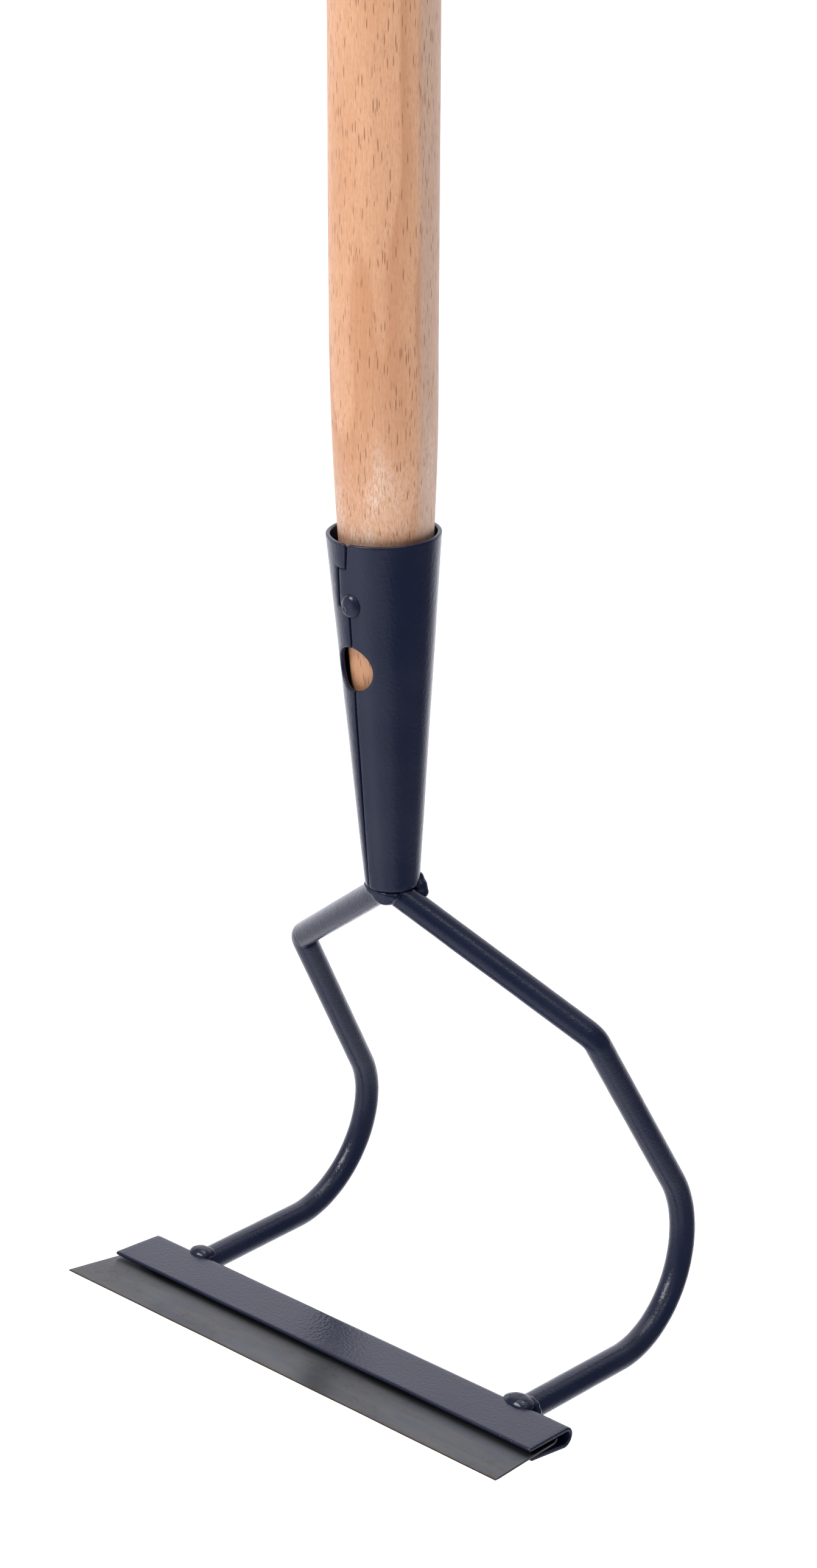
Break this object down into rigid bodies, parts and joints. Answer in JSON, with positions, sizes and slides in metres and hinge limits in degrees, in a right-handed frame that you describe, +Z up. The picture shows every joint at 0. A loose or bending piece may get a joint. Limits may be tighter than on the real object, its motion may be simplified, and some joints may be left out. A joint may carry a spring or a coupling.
{
  "type": "stirrup hoe",
  "caption": "Long-handled weeding hoe: a bow of bent steel rods under a rolled socket carries a folded holder that grips a thin replaceable strip blade.",
  "frame": {"origin": "on the handle's axis, 700 mm above the socket's mouth, where the lower hand holds", "axes": "+Z up along the handle, -Y towards the cutting edge, +X to the right along the blade"},
  "size_m": [0.169, 0.1238, 1.5724],
  "materials": {
    "beech": "smooth turned beech, thinly sealed",
    "paint": "dark navy powder coat, glossy with orange peel",
    "bare_steel": "rolled spring steel, dull",
    "zinc_plated_steel": "zinc plated"
  },
  "bodies": {
    "hoe": {"handle": "beech", "socket": "paint", "seam_tack_weld": "paint", "handle_screw": "zinc_plated_steel", "left_arm": "paint", "right_arm": "paint", "neck_weld_front": "paint", "neck_weld_back": "paint", "blade_holder": "paint", "left_holder_weld": "paint", "right_holder_weld": "paint"},
    "blade": {"blade": "bare_steel"}
  },
  "joints": [
    {"name": "blade_slide", "type": "slide", "parent": "hoe", "child": "blade", "axis": [1, 0, 0], "range_m": [-0.17, 0.17]}
  ]
}
